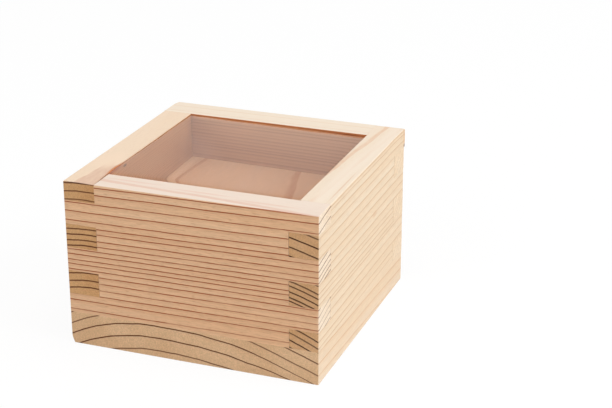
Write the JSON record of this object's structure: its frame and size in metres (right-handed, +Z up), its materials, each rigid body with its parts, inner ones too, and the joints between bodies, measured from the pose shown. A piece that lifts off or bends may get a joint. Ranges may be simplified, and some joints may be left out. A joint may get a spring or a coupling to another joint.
{
  "type": "wooden sake cup",
  "caption": "Square wooden sake cup: side boards locked at the corners by glued fingers, standing on a square bottom board.",
  "frame": {"origin": "centre of the underside", "axes": "+Z up through the open mouth, -Y out of the front face, +X out of the right face"},
  "size_m": [0.085, 0.085, 0.056],
  "materials": {
    "side_wood": "planed and sanded, unvarnished cypress",
    "bottom_wood": "planed and sanded, unvarnished cypress"
  },
  "bodies": {
    "root": {"front_board": "side_wood", "right_board": "side_wood", "back_board": "side_wood", "left_board": "side_wood", "bottom_board": "bottom_wood"}
  },
  "joints": []
}
